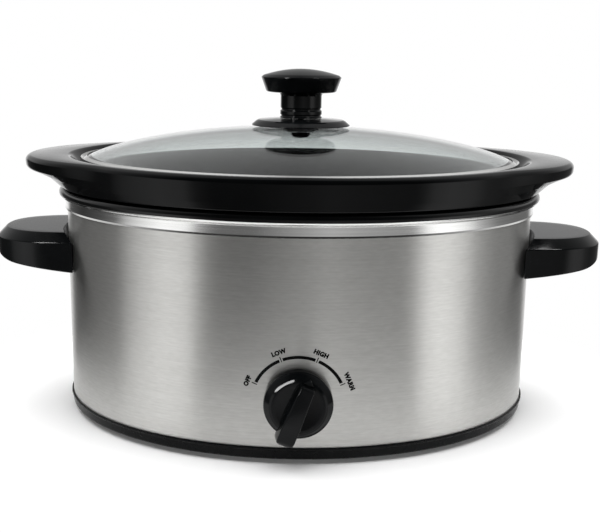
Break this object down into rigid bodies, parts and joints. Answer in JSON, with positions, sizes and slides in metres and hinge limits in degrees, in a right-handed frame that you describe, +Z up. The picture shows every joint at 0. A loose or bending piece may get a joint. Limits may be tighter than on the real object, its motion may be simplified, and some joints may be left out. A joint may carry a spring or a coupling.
{
  "type": "slow cooker",
  "caption": "Oval slow cooker: steel-wrapped heating base with side handles and a rotary dial, lift-out black stoneware crock with end grips, and a glass lid with a turned knob.",
  "frame": {"origin": "centre of the whole object's box, on the surface that the feet stand on", "axes": "+X along the oval's long axis towards the right-hand handle, seen from the front; the dial faces -Y; +Z up"},
  "size_m": [0.3966, 0.2616, 0.221],
  "materials": {
    "brushed_wrap": "horizontally brushed",
    "polished_rim": "bright, rolled",
    "plated_steel": "zinc plated",
    "brass_blade": "stamped",
    "black_plastic": "glossy moulded",
    "black_glaze": "opaque glazed stoneware",
    "clear_glass": "clear tempered glass",
    "black_rubber": "matt",
    "grey_silicone": "satin",
    "heater_cloth": "woven glass cloth",
    "switch_resin": "moulded resin",
    "lead_sleeve": "braided glass sleeve"
  },
  "bodies": {
    "base": {"base_pan": "black_plastic", "outer_shell": "brushed_wrap", "liner": "polished_rim", "handle_left": "black_plastic", "handle_right": "black_plastic", "switch_housing": "switch_resin", "switch_cover": "switch_resin", "switch_terminal_left": "brass_blade", "switch_terminal_centre": "brass_blade", "switch_terminal_right": "brass_blade", "switch_screw_left": "plated_steel", "switch_screw_right": "plated_steel", "heater_band": "heater_cloth", "heater_strap": "plated_steel", "strap_bolt": "plated_steel", "strap_nut": "plated_steel", "heater_terminal_left": "brass_blade", "heater_terminal_right": "brass_blade", "heater_terminal_rear": "brass_blade", "thermal_fuse": "plated_steel", "fuse_clip": "plated_steel", "tie_stud": "plated_steel", "tie_washer": "plated_steel", "tie_nut": "plated_steel", "cord_gland": "black_plastic", "gland_nut": "black_plastic", "terminal_block": "switch_resin", "lead_live": "lead_sleeve", "lead_low": "lead_sleeve", "lead_high": "lead_sleeve", "lead_neutral": "lead_sleeve", "lead_fuse": "lead_sleeve", "foot_front_left": "black_rubber", "foot_front_right": "black_rubber", "foot_rear_left": "black_rubber", "foot_rear_right": "black_rubber", "handle_screw_left_front": "plated_steel", "handle_screw_left_rear": "plated_steel", "handle_screw_right_front": "plated_steel", "handle_screw_right_rear": "plated_steel"},
    "dial": {"control_knob": "black_plastic", "switch_shaft": "plated_steel", "switch_rotor": "black_plastic"},
    "crock": {"crock": "black_glaze"},
    "lid": {"lid_glass": "clear_glass", "lid_band": "polished_rim", "lid_knob": "black_plastic", "knob_collar": "black_plastic", "knob_gasket": "grey_silicone", "knob_washer": "plated_steel", "knob_screw": "black_plastic"}
  },
  "joints": [
    {"name": "dial_turn", "type": "hinge", "parent": "base", "child": "dial", "pos_m": [0, -0.11375, 0.038], "axis": [0, 1, 0], "range_deg": [-86, 43]},
    {"name": "crock_lift", "type": "slide", "parent": "base", "child": "crock", "axis": [0, 0, 1], "range_m": [0, 0.2]},
    {"name": "lid_lift", "type": "slide", "parent": "crock", "child": "lid", "axis": [0, 0, 1], "range_m": [0, 0.15]}
  ]
}
